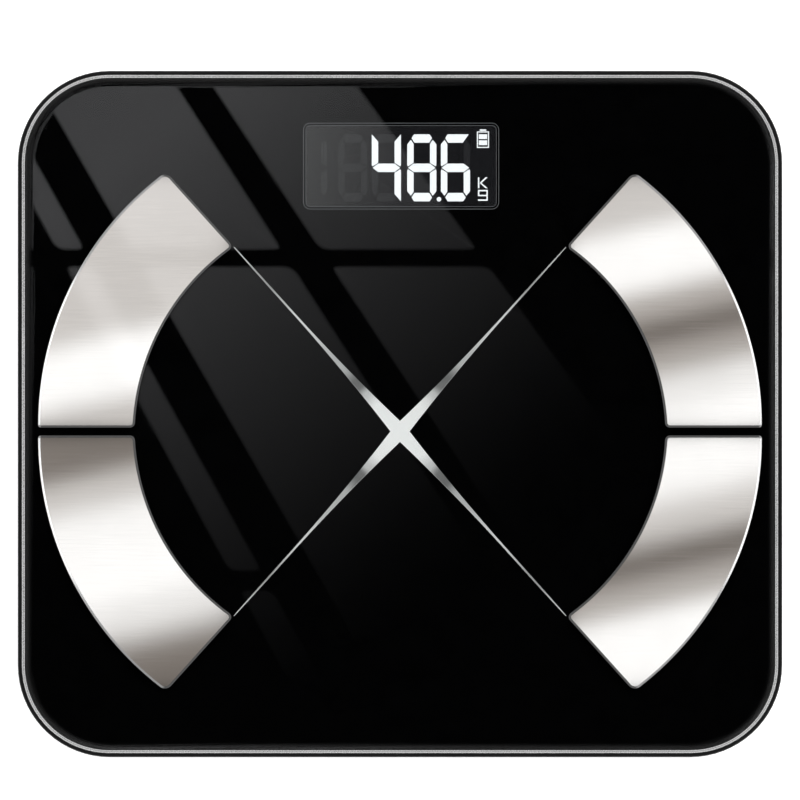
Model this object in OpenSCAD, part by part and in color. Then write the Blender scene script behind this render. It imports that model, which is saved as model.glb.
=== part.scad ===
// Digital bathroom scale: tempered glass platform with four steel foot electrodes, a lit display
// under the glass, and four load cells that each stand on a foot.
// Millimetres. +Z is up, +Y points to the display edge, and the origin is on the floor under the middle.

/* [Platform] */
// Overall width, left to right
platform_w = 280; // [276:1:300]
// Overall depth, front to back
platform_d = 251.4; // [248:0.2:270]
// Corner radius of the outline
corner_r = 33.7; // [32:0.1:35]
// Gap between the floor and the underside of the housing
ground_gap = 4; // [3.6:0.1:4.6]
// Clear height inside the housing, from its floor to the glass
inner_h = 11.8; // [11.8:0.1:13]

/* [Housing and rim] */
// Thickness of the housing floor and walls
wall_t = 2.2; // [2:0.1:2.6]
// Radius of the rounded bottom edge
bottom_r = 10; // [8:0.5:11]
// Width of the plastic lip outside the trim ring
lip_w = 1.5; // [1:0.1:1.5]
// Width of the trim ring
ring_w = 1.2; // [1.1:0.05:1.35]
// Distance from the outline to the edge of the glass
glass_inset = 3.1; // [3:0.1:3.4]

/* [Glass] */
// Thickness of the glass platform
glass_t = 6; // [5:0.5:8]
// Width of the ground, rounded border on the top of the glass
border_w = 2.7; // [2:0.1:3.2]
// How far the glass falls over that border
border_drop = 1; // [0.6:0.1:1.2]

/* [Electrodes] */
// How far the middle of the electrode pattern lies in front of the middle of the platform
pattern_back = 6.4; // [4:0.1:8]
// Gap between the front and the rear electrode of one side
split_gap = 2.9; // [2:0.1:4]
// Direction of the end cuts and of the star's arms, from the X axis
cut_angle = 48; // [46:0.5:50]
// Radius of the outer edge of an electrode
outer_r = 114.7; // [112:0.1:116]
// Radius of the inner edge of an electrode
inner_r = 84.8; // [82:0.1:88]
// Thickness of an electrode plate
plate_t = 0.7; // [0.6:0.05:1]
// Width of the bevel round the top of an electrode
bevel_w = 0.8; // [0.5:0.05:0.9]

/* [Display] */
// Width of the display window
window_w = 71.8; // [68:0.1:74]
// Height of the display window
window_h = 31.7; // [30:0.1:34]
// Distance from the middle of the platform to the middle of the window
window_y = 90.9; // [89:0.1:92]
// Height of a digit
digit_h = 24.6; // [22:0.1:25.2]
// Width of a digit
digit_w = 10.7; // [10:0.1:11]
// Distance from one digit to the next
digit_pitch = 12.35; // [12.2:0.05:12.5]

/* [Feet] */
// Distance of each foot from the middle, left to right
foot_x = 98; // [94:0.5:99]
// Distance of each foot from the middle, front to back
foot_y = 84; // [80:0.5:85]
// Diameter of a foot
foot_d = 30; // [28:0.5:30]
// How far a foot drops when the scale is lifted
foot_play = 0.6; // [0.4:0.1:0.8]

/* [Batteries] */
// Diameter of a cell
cell_d = 10.5; // [10:0.1:10.5]
// Length of a cell with its button
cell_l = 44.5; // [44:0.1:44.5]
// Distance of the battery bay in front of the middle
bay_back = 52; // [50:0.5:54]

/* [Hidden] */
$fn = 96;
tiny = 0.01;

// Heights
floor_z = ground_gap;
floor_top = floor_z + wall_t;
glass_z = floor_top + inner_h;
glass_top = glass_z + glass_t;
bond_t = 0.02;
print_t = 0.1;
print_z = glass_z - bond_t - print_t;
tape_t = 0.5;
seat_z = print_z - tape_t;
lip_top = glass_top - 1.4;
ring_top = glass_top - 1;

// Plan sizes
glass_w = platform_w - 2 * glass_inset;
glass_d = platform_d - 2 * glass_inset;
glass_r = corner_r - glass_inset;
rail_in = 9;
rail_out = 6;

// Electrodes, seen from the middle of their pattern
outer_c = [17.6, 2.6];
inner_c = [12.3, -2];
cut_dir = [cos(cut_angle), sin(cut_angle)];
cut_in = [sin(cut_angle), -cos(cut_angle)];
reach = 200;
electrode_z = glass_top + 0.15;
bevel_h = 0.5;
stud_d = 4;
stud_x = 106;
stud_y = 40;
star_r = 91;

// Display
window_x = 0.4;
window_r = 2.6;
line_w = 0.2;
line_inset = 0.9;
inner_line_w = 0.16;
display_top = glass_z - 0.6;
reflector_h = 8;
reflector_w = window_w + 4;
reflector_d = window_h + 4;
display_board_t = 1.6;
display_board_z = display_top - reflector_h - display_board_t;
display_board_w = 88;
pipe_t = 1.2;
digit_x = window_x + 14.6;
digit_y = window_y - 12.9;
hundreds_gap = 0.65;
lead_gap = 2.35;
bar_v = 2.35;
bar_h = 3.1;
bar_gap = 0.3;
corner_x = 2.5;
corner_y = 3.7;
dot_d = 1.65;
dot_at = [-0.7, 0.76];
icon_x = window_x + 27.8;
icon_y = window_y + 6.7;
icon_w = 4.45;
icon_h = 6.05;
icon_line = 0.38;
icon_block = [3.1, 1.75];
unit_x = window_x + 28.2;
unit_y = window_y - 12.7;
unit_w = 3.6;
unit_line = 0.52;

// Load cells and feet
cell_side = 34;
beam_z = floor_top + 3.8;
beam_t = 2;
well_side = 40;
well_top = beam_z + 3;
ear_x = 24;
flange_t = 1.2;
foot_hole_d = foot_d + 1.2;
flange_d = foot_d + 3;
guide_d = flange_d + 1;
pad_t = 2;

// Battery bay
cell_pitch = cell_d + 1;
bay_w = cell_l + 6.5;
bay_d = 2 * cell_pitch + cell_d + 1.5;
bay_wall = 2;
bay_top = glass_z - 1.2;
recess_t = 1.9;
cell_z = floor_z + recess_t + 0.1 + cell_d / 2;
cell_shift = 1.6;
door_gap = 0.3;
thumb_w = 16;
thumb_d = 3.2;

// Boards
board_w = 64;
board_d = 40;
board_t = 1.6;
board_z = floor_top + 4.2;
board_top = board_z + board_t;
post_x = 22;
post_y = 16.5;
display_post_x = 41;
display_post_y = 12;
button_x = 8;
button_y = 8;
plug_x = 33;
plug_z = board_top + 2;
plug_h = 4;
cell_plug_y = 13;
electrode_plug_y = 4;
button_d = 9;
button_gap = 0.3;
button_flange_t = 0.8;
plunger_d = 3.2;

// Rating label
label_w = 63;
label_d = 33;
label_x = -52;
label_y = 14;
label_recess = 0.15;

// ---------- shared shapes ----------

// Sweeps a section round a rounded rectangle. In the section, x = r is the outline.
module sweep_round(w, d, r) {
  hx = w / 2 - r;
  hy = d / 2 - r;
  for (i = [0:3]) {
    even = i % 2 == 0;
    rotate(90 * i)
      translate([even ? hx : hy, even ? hy : hx, 0])
        rotate_extrude(angle = 90)
          children();
    rotate(90 * i)
      translate([even ? hx : hy, even ? hy : hx, 0])
        rotate([90, 0, 0])
          linear_extrude(even ? 2 * hy : 2 * hx)
            children();
  }
}

// A flat plate with rounded corners, from z0 to z0 + t.
module round_plate(w, d, r, z0, t) {
  translate([0, 0, z0])
    sweep_round(w, d, r)
      square([r, t]);
  translate([r - w / 2, r - d / 2, z0])
    cube([w - 2 * r, d - 2 * r, t]);
}

// A closed frame of the given width, inside a rounded rectangle.
module round_frame(w, d, r, width, z0, t) {
  translate([0, 0, z0])
    sweep_round(w, d, r)
      translate([r - width, 0])
        square([width, t]);
}

module box(size, at) {
  translate([at.x - size.x / 2, at.y - size.y / 2, at.z])
    cube(size);
}

module disc(d, z0, z1) {
  translate([0, 0, z0])
    cylinder(h = z1 - z0, d = d);
}

// Pan-head screw, with its head standing on z = 0 and its shank below.
module screw(length) {
  head_h = 1.5;
  difference() {
    union() {
      cylinder(h = head_h, d1 = 4.4, d2 = 3.6);
      translate([0, 0, -length])
        cylinder(h = length + tiny, d = 2);
    }
    for (a = [0, 90])
      rotate(a)
        box([2.4, 0.5, 1], [0, 0, head_h - 0.7]);
  }
}

// Places its children at one quadrant of the platform: sx is right or left, sy is rear or front.
module quadrant(sx, sy) {
  mirror([sx < 0 ? 1 : 0, 0, 0])
    mirror([0, sy < 0 ? 1 : 0, 0])
      children();
}

module all_quadrants() {
  for (sx = [-1, 1])
    for (sy = [-1, 1])
      quadrant(sx, sy)
        children();
}

module pattern() {
  translate([0, -pattern_back, 0])
    children();
}

module at_foot() {
  translate([foot_x, foot_y, 0])
    children();
}

// ---------- sweeps for wires and springs ----------

function unit(v) = v / norm(v);

// Catmull-Rom point between p[i] and p[i + 1].
function curve_point(p, i, t) =
  let (n = len(p) - 1, a = p[max(i - 1, 0)], b = p[i], c = p[min(i + 1, n)], d = p[min(i + 2, n)])
  0.5 * (2 * b + (c - a) * t + (2 * a - 5 * b + 4 * c - d) * t * t + (3 * b - a - 3 * c + d) * pow(t, 3));

function smooth_path(p, steps) =
  [for (i = [0:len(p) - 2], k = [0:steps - 1]) curve_point(p, i, k / steps), p[len(p) - 1]];

function heading(p, i) = unit(p[min(i + 1, len(p) - 1)] - p[max(i - 1, 0)]);

// The path moved sideways by s, so that wires run beside each other.
function beside(p, s) =
  [for (i = [0:len(p) - 1]) let (h = heading(p, i), flat = norm([h.x, h.y])) p[i] + s / flat * [-h.y, h.x, 0]];

// A round wire along the points of path, which never heads along up.
module wire(path, d, sides = 8, up = [0, 0, 1]) {
  n = len(path);
  rings = [for (i = [0:n - 1])
    let (h = heading(path, i), u = unit(cross(h, up)), v = cross(u, h))
    for (k = [0:sides - 1])
      path[i] + d / 2 * (cos(360 * k / sides) * u + sin(360 * k / sides) * v)];
  skin = [for (i = [0:n - 2], k = [0:sides - 1])
    let (a = i * sides + k, b = i * sides + (k + 1) % sides)
    [a, b, b + sides, a + sides]];
  first = [for (k = [0:sides - 1]) sides - 1 - k];
  last = [for (k = [0:sides - 1]) (n - 1) * sides + k];
  polyhedron(points = rings, faces = concat([first, last], skin));
}

// ---------- glass platform ----------

// Section of the platform glass at its edge: the top falls away along a wide arc.
module glass_section() {
  arc_r = (border_w * border_w + border_drop * border_drop) / (2 * border_drop);
  square([glass_r - border_w, glass_t]);
  intersection() {
    translate([glass_r - border_w, 0])
      square([border_w, glass_t]);
    translate([glass_r - border_w, glass_t - arc_r])
      circle(arc_r);
  }
  square([glass_r, glass_t - border_drop - 1.5]);
}

module glass_panel() {
  color([0.75, 0.85, 0.85, 0.35])
    difference() {
      union() {
        translate([0, 0, glass_z])
          sweep_round(glass_w, glass_d, glass_r)
            glass_section();
        box([glass_w - 2 * glass_r, glass_d - 2 * glass_r, glass_t], [0, 0, glass_z]);
      }
      pattern()
        all_quadrants()
          translate([stud_x, stud_y, glass_z - 1])
            cylinder(h = glass_t + 2, d = stud_d + 1.5);
    }
}

// Half the width of a star arm at distance r from its centre.
function arm_half(r) = 0.35 + 2.45 * pow(max(60 - r, 0) / 60, 2) - 0.22 * pow(r / star_r, 8);

module star_outline() {
  step = star_r / 26;
  for (a = [cut_angle, 180 - cut_angle, 180 + cut_angle, -cut_angle])
    rotate(a)
      polygon(concat(
        [for (i = [0:26]) [i * step, arm_half(i * step)]],
        [for (i = [26:-1:0]) [i * step, -arm_half(i * step)]]
      ));
}

module star_print() {
  color("silver")
    translate([0, 0, print_z])
      pattern()
        linear_extrude(print_t)
          star_outline();
}

module black_print() {
  color([0.03, 0.03, 0.035]) {
    difference() {
      round_plate(glass_w - 0.6, glass_d - 0.6, glass_r - 0.3, print_z, print_t);
      translate([window_x, window_y, 0])
        round_plate(window_w, window_h, window_r, print_z - 1, 2);
      translate([0, 0, print_z - 1])
        pattern()
          linear_extrude(2)
            star_outline();
      pattern()
        all_quadrants()
          translate([stud_x, stud_y, print_z - 1])
            cylinder(h = 2, d = stud_d + 1.5);
    }
    translate([window_x, window_y, 0])
      window_line(line_w, line_inset - line_w);
  }
}

// A line printed round the window, at the given inset from its outline.
module window_line(inset, width) {
  round_frame(window_w - 2 * inset, window_h - 2 * inset, window_r - inset, width, print_z, print_t);
}

module window_lines() {
  color([0.6, 0.62, 0.65])
    translate([window_x, window_y, 0]) {
      window_line(0, line_w);
      window_line(line_inset, inner_line_w);
    }
}

module window_film() {
  inset = line_inset + inner_line_w;
  color([0.1, 0.1, 0.12, 0.6])
    translate([window_x, window_y, 0])
      round_plate(window_w - 2 * inset, window_h - 2 * inset, window_r - inset, print_z, print_t);
}

// ---------- electrodes ----------

// Corner circle between a long arc and the split edge, side -1 inside the arc or 1 outside it.
function split_corner(c, arc_r, r, side) =
  let (y = split_gap / 2 + r)
  [c.x + sqrt(pow(arc_r + side * r, 2) - pow(y - c.y, 2)), y];

// Corner circle between a long arc and the end cut.
function cut_corner(c, arc_r, r, side) =
  let (q = r * cut_in - c, b = cut_dir * q)
  (sqrt(b * b - q * q + pow(arc_r + side * r, 2)) - b) * cut_dir + r * cut_in;

// Each corner: its circle's centre and radius, its arc's centre, and whether it is on the split edge.
function corner_list() = [
  [split_corner(outer_c, outer_r, 1, -1), 1, outer_c, -1, true],
  [split_corner(inner_c, inner_r, 1.8, 1), 1.8, inner_c, 1, true],
  [cut_corner(outer_c, outer_r, 3, -1), 3, outer_c, -1, false],
  [cut_corner(inner_c, inner_r, 1.8, 1), 1.8, inner_c, 1, false]
];

// The part of the plate that a rounded corner takes away, before its circle goes back in.
module corner_cut(corner, h) {
  c = corner[0];
  arc_side = -corner[3] * unit(c - corner[2]);
  edge_side = corner[4] ? [0, -1] : -cut_in;
  middle = unit(arc_side + edge_side);
  tip = 1.4 * corner[1] / (middle * edge_side);
  translate([0, 0, -1])
    linear_extrude(h + 2)
      polygon([c, c + corner[1] * arc_side, c + tip * middle, c + corner[1] * edge_side]);
}

// Everything past a straight edge that leans by the given insets at its bottom and top.
module past_edge(low, high, h) {
  rotate([90, 0, 90])
    linear_extrude(reach)
      polygon([[low, 0], [high, h], [reach, h], [reach, 0]]);
}

// One layer of an electrode, with its outline drawn in by low at the bottom and high at the top.
module electrode_layer(low, high, h) {
  difference() {
    intersection() {
      translate([outer_c.x, outer_c.y, 0])
        cylinder(h = h, r1 = outer_r - low, r2 = outer_r - high, $fn = 360);
      past_edge(split_gap / 2 + low, split_gap / 2 + high, h);
      rotate(cut_angle)
        mirror([0, 1, 0])
          past_edge(low, high, h);
    }
    translate([inner_c.x, inner_c.y, 0])
      cylinder(h = h, r1 = inner_r + low, r2 = inner_r + high, $fn = 360);
    for (corner = corner_list())
      corner_cut(corner, h);
  }
  for (corner = corner_list())
    translate([corner[0].x, corner[0].y, 0])
      cylinder(h = h, r1 = corner[1] - low, r2 = corner[1] - high);
}

// Steel plate with a bevelled edge and a threaded stud welded under it.
module electrode() {
  color([0.8, 0.79, 0.77]) {
    translate([0, 0, electrode_z])
      electrode_layer(0, 0, plate_t - bevel_h);
    translate([0, 0, electrode_z + plate_t - bevel_h])
      electrode_layer(0, bevel_w, bevel_h);
    translate([stud_x, stud_y, 0])
      disc(stud_d, glass_z - 4, electrode_z + tiny);
  }
}

module electrode_at(sx, sy) {
  pattern()
    quadrant(sx, sy)
      electrode();
}

module electrode_tapes() {
  inset = 0.6;
  color([0.2, 0.2, 0.2])
    pattern()
      all_quadrants()
        translate([0, 0, glass_top])
          difference() {
            electrode_layer(inset, inset, electrode_z - glass_top);
            translate([stud_x, stud_y, -1])
              cylinder(h = 2, d = stud_d + 2);
          }
}

module ring_lugs() {
  color([0.78, 0.6, 0.3])
    pattern()
      all_quadrants()
        translate([stud_x, stud_y, print_z - 0.4])
          difference() {
            union() {
              cylinder(h = 0.4, d = 8);
              box([6, 3, 0.4], [-6, 0, 0]);
            }
            translate([0, 0, -1])
              cylinder(h = 2, d = stud_d + 0.2);
          }
}

module stud_nuts() {
  nut_h = 2.4;
  color([0.7, 0.7, 0.68])
    pattern()
      all_quadrants()
        translate([stud_x, stud_y, print_z - 0.4 - nut_h])
          difference() {
            cylinder(h = nut_h, d = 8.1, $fn = 6);
            translate([0, 0, -1])
              cylinder(h = nut_h + 2, d = stud_d + 0.05);
          }
}

module electrode_wires() {
  y0 = stud_y;
  z0 = print_z - 0.9;
  color([0.15, 0.3, 0.6])
    for (sx = [-1, 1])
      for (sy = [-1, 1]) {
        stop_y = sy * electrode_plug_y + pattern_back;
        route = [[98, y0, z0], [92, y0, z0 - 1.2], [80, y0 - 6, z0 - 4], [60, y0 - 18, z0 - 5],
          [44, sy * stop_y + 4, z0 - 4], [37, sy * stop_y, plug_z]];
        pattern()
          quadrant(sx, sy)
            wire(concat(smooth_path(route, 2), [[plug_x, sy * stop_y, plug_z]]), 1);
      }
}

// ---------- housing and rim ----------

// Section of the housing at its edge: rounded bottom of even thickness, wall, thin outer lip and inner rail.
module housing_section() {
  lip_round = 0.8;
  difference() {
    union() {
      translate([0, floor_z])
        square([corner_r, wall_t]);
      translate([corner_r - bottom_r, floor_z])
        square([bottom_r, seat_z - floor_z]);
      translate([corner_r - lip_w, seat_z - 1])
        square([lip_w, lip_top - seat_z + 1]);
    }
    difference() {
      translate([corner_r - bottom_r, floor_top])
        square([bottom_r - wall_t - 0.6, seat_z]);
      translate([corner_r - bottom_r, floor_z])
        square([bottom_r, wall_t]);
      translate([corner_r - rail_in, floor_z])
        square([rail_in - rail_out, seat_z]);
      difference() {
        translate([corner_r - bottom_r, floor_z])
          square([bottom_r, bottom_r]);
        translate([corner_r - bottom_r, floor_z + bottom_r])
          circle(bottom_r - wall_t);
      }
    }
    difference() {
      translate([corner_r - bottom_r, floor_z - 1])
        square([bottom_r + 1, bottom_r + 1]);
      translate([corner_r - bottom_r, floor_z + bottom_r])
        circle(bottom_r);
    }
    difference() {
      translate([corner_r - lip_round, lip_top - lip_round])
        square([lip_round + 1, lip_round + 1]);
      translate([corner_r - lip_round, lip_top - lip_round])
        circle(lip_round);
    }
  }
}

// Walls round a load cell: a square block with a locating pocket on top and a round guide below.
module cell_well() {
  box([well_side, well_side, well_top - floor_top], [0, 0, floor_top - tiny]);
  for (sx = [-1, 1])
    translate([sx * ear_x, 0, 0])
      disc(6.4, floor_top - tiny, well_top);
}

module cell_well_cuts() {
  disc(foot_hole_d, floor_z - 1, floor_top + 1);
  translate([0, 0, floor_z - tiny])
    cylinder(h = 0.8, d1 = foot_hole_d + 1.6, d2 = foot_hole_d);
  disc(guide_d, floor_top, beam_z + 1);
  box([cell_side + 0.6, cell_side + 0.6, well_top], [0, 0, beam_z]);
  for (sx = [-1, 1])
    translate([sx * ear_x, 0, 0])
      disc(2.2, floor_top + 0.5, well_top + 1);
}

module bay_walls() {
  box([bay_w + 2 * bay_wall, bay_d + 2 * bay_wall, bay_top + 1 - floor_top], [0, -bay_back, floor_top - tiny]);
}

module bay_cuts() {
  box([bay_w, bay_d, bay_top - floor_z], [0, -bay_back, floor_z]);
  box([bay_w + 2, bay_d + 2, recess_t + 1], [0, -bay_back, floor_z - 1]);
  thumb_y = bay_d / 2 - bay_back + thumb_d / 2;
  box([thumb_w, thumb_d + 2, recess_t + 1], [0, thumb_y, floor_z - 1]);
  box([thumb_w - 2, thumb_d + 1, 6.5], [0, thumb_y - 0.6, floor_z - tiny]);
}

module board_posts() {
  for (sx = [-1, 1])
    for (sy = [-1, 1]) {
      translate([sx * post_x, sy * post_y, 0])
        disc(6, floor_top - tiny, board_z);
      translate([window_x + sx * display_post_x, window_y + sy * display_post_y, 0])
        disc(6, floor_top - tiny, display_board_z);
    }
}

module board_post_holes() {
  for (sx = [-1, 1])
    for (sy = [-1, 1]) {
      translate([sx * post_x, sy * post_y, 0])
        disc(2.2, floor_top - 0.6, board_z + 1);
      translate([window_x + sx * display_post_x, window_y + sy * display_post_y, 0])
        disc(2.2, floor_z + 0.8, display_board_z + 1);
    }
}

// Short webs that tie the inner rail to the outer wall.
module rail_webs() {
  span = rail_out - wall_t - 0.4;
  pitch = 24;
  for (side = [-1, 1]) {
    for (i = [-3.5:3.5])
      box([1.4, span, 8], [i * pitch, side * (platform_d / 2 - wall_t - span / 2 - 0.4), seat_z - 8.5]);
    for (i = [-3:3])
      box([span, 1.4, 8], [side * (platform_w / 2 - wall_t - span / 2 - 0.4), i * pitch, seat_z - 8.5]);
  }
}

module bottom_housing() {
  color([0.06, 0.06, 0.065])
    difference() {
      union() {
        sweep_round(platform_w, platform_d, corner_r)
          housing_section();
        box([platform_w - 2 * corner_r, platform_d - 2 * corner_r, wall_t], [0, 0, floor_z]);
        rail_webs();
        bay_walls();
        board_posts();
        all_quadrants()
          at_foot()
            cell_well();
      }
      all_quadrants()
        at_foot()
          cell_well_cuts();
      bay_cuts();
      board_post_holes();
      translate([button_x, button_y, 0])
        disc(button_d + 2 * button_gap, floor_z - 1, floor_top + 1);
      box([label_w + 1, label_d + 1, 1 + label_recess], [label_x, label_y, floor_z - 1]);
    }
}

module rating_label() {
  label_t = 0.1;
  color([0.75, 0.76, 0.77])
    box([label_w, label_d, label_t], [label_x, label_y, floor_z + label_recess - label_t - tiny]);
}

module trim_ring() {
  bead = ring_w / 4;
  inset = lip_w + 0.05;
  color([0.77, 0.69, 0.78])
    sweep_round(platform_w - 2 * inset, platform_d - 2 * inset, corner_r - inset)
      translate([corner_r - inset - ring_w, seat_z]) {
        square([ring_w, ring_top - bead - seat_z]);
        for (x = [bead, 3 * bead])
          translate([x, ring_top - bead - seat_z])
            circle(bead);
      }
}

module glass_tape() {
  width = rail_in - rail_out - 0.4;
  color([0.85, 0.85, 0.82]) {
    round_frame(platform_w - 2 * rail_out - 0.4, platform_d - 2 * rail_out - 0.4, corner_r - rail_out - 0.2,
      width, seat_z, tape_t);
    all_quadrants()
      at_foot()
        for (sx = [-1, 1])
          box([3.4, 30, tape_t], [sx * 14.5, 0, seat_z]);
  }
}

// ---------- load cells, brackets and feet ----------

// Sprung steel plate: the middle tongue bends as the foot pushes it up.
module load_cell() {
  tongue_w = 13;
  slot = 2;
  color([0.7, 0.7, 0.72])
    at_foot()
      difference() {
        round_plate(cell_side, cell_side, 3, beam_z, beam_t);
        difference() {
          box([tongue_w + 2 * slot, 19, beam_t + 2], [0, -0.5, beam_z - 1]);
          box([tongue_w, 19, beam_t + 4], [0, -0.5 + slot, beam_z - 2]);
        }
      }
}

module strain_gauges() {
  color([0.75, 0.5, 0.2])
    all_quadrants()
      at_foot()
        box([7, 5, 0.2], [0, 5, beam_z + beam_t]);
}

// Plastic frame that carries the glass on the rim of a load cell.
module bracket() {
  window = 24;
  color([0.88, 0.88, 0.86])
    at_foot()
      difference() {
        union() {
          round_plate(cell_side, cell_side, 3, beam_z + beam_t, seat_z - beam_z - beam_t);
          box([2 * ear_x + 6, 8, 2], [0, 0, well_top]);
        }
        box([window, window, 20], [0, 0, beam_z]);
        box([8, cell_side, 3.6], [0, -cell_side / 2, beam_z + beam_t - tiny]);
        for (sx = [-1, 1])
          translate([sx * ear_x, 0, 0])
            disc(2.6, well_top - 1, seat_z + 1);
      }
}

module bracket_screws() {
  color([0.65, 0.65, 0.66])
    all_quadrants()
      at_foot()
        for (sx = [-1, 1])
          translate([sx * ear_x, 0, well_top + 2])
            screw(7);
}

// The wire of one colour from each load cell's gauge to the main board, set aside by shift.
module cell_wires(shift) {
  top = beam_z + beam_t + 1;
  x = foot_x;
  route = [[x, foot_y + 1, top], [x, foot_y - 10, top + 0.3], [x, 65, top + 1.2], [x - 1, 59, top - 1],
    [x - 6, 53, 8.2], [82, 44, 7.6], [62, 33, 7.6], [50, 22, 8.6], [42, 14, 12], [37, cell_plug_y, plug_z]];
  path = concat(smooth_path(route, 2), [[plug_x, cell_plug_y, plug_z]]);
  all_quadrants()
    wire(beside(path, shift), 1);
}

module cell_wires_red() {
  color("firebrick")
    cell_wires(-1.6);
}

module cell_wires_white() {
  color("whitesmoke")
    cell_wires(0);
}

module cell_wires_black() {
  color([0.1, 0.1, 0.1])
    cell_wires(1.6);
}

// Rigid foot: a cup for the rubber pad, a flange that keeps it in the housing, and a boss on top.
module foot_cup() {
  top = floor_top + foot_play + flange_t;
  r = foot_d / 2;
  color([0.16, 0.16, 0.17])
    at_foot()
      rotate_extrude()
        polygon([[0, pad_t + 1.2], [r - 2, pad_t + 1.2], [r - 2, pad_t], [r, pad_t], [r, top - flange_t],
          [flange_d / 2, top - flange_t], [flange_d / 2, top], [r - 2.5, top], [r - 2.5, pad_t + 3],
          [5.5, pad_t + 3], [5.5, top], [4, top], [4, beam_z], [0, beam_z]]);
}

module foot_pad() {
  r = foot_d / 2;
  color([0.1, 0.1, 0.1])
    at_foot()
      rotate_extrude() {
        square([r - 2.1, pad_t + 1.2]);
        square([r - 0.8, 1]);
        translate([0, 0.8])
          square([r, pad_t - 0.8]);
        intersection() {
          translate([r - 0.8, 0.8])
            circle(0.8);
          square([r, 1]);
        }
      }
}

// ---------- batteries ----------

module battery_door() {
  w = bay_w + 2 - 2 * door_gap;
  d = bay_d + 2 - 2 * door_gap;
  plate = recess_t - 0.1;
  z0 = floor_z + 0.05;
  leaf_y = bay_d / 2 + thumb_d / 2 - bay_back;
  thumb_l = thumb_d + 2 - 2 * door_gap;
  color([0.07, 0.07, 0.075])
    difference() {
      union() {
        box([w, d, plate], [0, -bay_back, z0]);
        box([thumb_w - 2 * door_gap, thumb_l, plate], [0, leaf_y, z0]);
        box([thumb_w - 4, 1.2, 4.6], [0, leaf_y, z0 + plate - tiny]);
        box([thumb_w - 4, 1.8, 0.9], [0, leaf_y + 0.3, z0 + plate + 2.6]);
        for (x = [-bay_w / 4, bay_w / 4])
          box([8, 0.6, 3], [x, -bay_d / 2 - bay_back + 0.35, z0 + plate - tiny]);
      }
      for (i = [0:4])
        box([thumb_w - 5, 0.6, 0.6], [0, leaf_y - 6.2 + 1.4 * i, z0 - 0.2]);
    }
}

// One dry cell along X, with its button at the end that sign points to.
module dry_cell(row) {
  sign = row % 2 == 0 ? 1 : -1;
  body = cell_l - 1;
  y = (row - 1) * cell_pitch - bay_back;
  color([0.2, 0.35, 0.55])
    translate([sign * cell_shift, y, cell_z])
      rotate([0, sign * 90, 0]) {
        translate([0, 0, -cell_l / 2])
          cylinder(h = body, d = cell_d);
        translate([0, 0, cell_l / 2 - 1 - tiny])
          cylinder(h = 1 + tiny, d = 3.8);
      }
}

module battery_cell_1() {
  dry_cell(0);
}

module battery_cell_2() {
  dry_cell(1);
}

module battery_cell_3() {
  dry_cell(2);
}

module battery_springs() {
  turns = 3;
  wire_d = 0.6;
  start = bay_w / 2 - 0.5 - wire_d / 2;
  travel = start - (cell_l / 2 - cell_shift) - wire_d / 2;
  color([0.75, 0.75, 0.76])
    for (row = [0:2]) {
      sign = row % 2 == 0 ? 1 : -1;
      y = (row - 1) * cell_pitch - bay_back;
      coil = [for (i = [0:12 * turns])
        let (f = i / (12 * turns), r = 3.9 - 1.9 * f)
        [sign * (f * travel - start), y + r * cos(30 * i), cell_z + r * sin(30 * i)]];
      wire(coil, wire_d, 6, [1, 0, 0]);
    }
}

module battery_contacts() {
  color([0.75, 0.75, 0.76])
    for (sx = [-1, 1])
      for (row = [0:2])
        box([0.4, cell_pitch - 2, 8], [sx * (bay_w / 2 - 0.3), (row - 1) * cell_pitch - bay_back, cell_z - 4]);
}

module battery_wires() {
  x = bay_w / 2 + bay_wall + 0.6;
  for (side = [-1, 1]) {
    route = [[side * x, -bay_back, 9.4], [side * (x + 1.5), -bay_back + 6, 9], [side * x, -31, 9],
      [side * 22, -27, 10.5], [side * 16, -24, 13.6], [side * 14, -23.4, 14]];
    last = [[side * 14, -22.6, 14], [side * 14, -21, 14]];
    color(side > 0 ? "firebrick" : "black")
      wire(concat(smooth_path(route, 2), last), 1.1);
  }
}

// ---------- electronics ----------

module main_board() {
  color([0.08, 0.35, 0.2])
    difference() {
      box([board_w, board_d, board_t], [0, 0, board_z]);
      for (sx = [-1, 1])
        for (sy = [-1, 1])
          translate([sx * post_x, sy * post_y, board_z - 1])
            cylinder(h = board_t + 2, d = 2.4);
    }
}

module board_chips() {
  color([0.09, 0.09, 0.1]) {
    box([7, 7, 1], [-6, 2, board_top]);
    box([5, 4, 1.2], [3, -7, board_top]);
    box([3.2, 5, 0.8], [-13, -8, board_top]);
    for (i = [0:5])
      box([1.6, 0.8, 0.5], [-15 + 4 * i, 12, board_top]);
    for (i = [0:3])
      box([0.8, 1.6, 0.6], [13 + 2 * i, -8, board_top]);
  }
}

// Radio board with its shielding can.
module radio_module() {
  color([0.6, 0.62, 0.64]) {
    box([12, 15, 0.8], [14, 5, board_top]);
    box([10, 9, 1.6], [14, 3, board_top + 0.8]);
  }
}

// Plug housings: one for each load cell and electrode, one for the battery leads and one for the ribbon.
module wire_connectors() {
  plug_l = 8;
  color([0.93, 0.92, 0.88]) {
    for (sx = [-1, 1])
      for (sy = [-1, 1]) {
        box([plug_l, 7, plug_h], [sx * (plug_x - plug_l / 2), sy * cell_plug_y, board_top]);
        box([plug_l, 5, plug_h], [sx * (plug_x - plug_l / 2), sy * electrode_plug_y, board_top]);
      }
    box([34, 6, plug_h], [0, -18, board_top]);
    box([16, 5, 2.4], [-6, 17, board_top]);
  }
}

module board_screws() {
  color([0.65, 0.65, 0.66])
    for (sx = [-1, 1])
      for (sy = [-1, 1])
        translate([sx * post_x, sy * post_y, board_top])
          screw(5.5);
}

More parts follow.
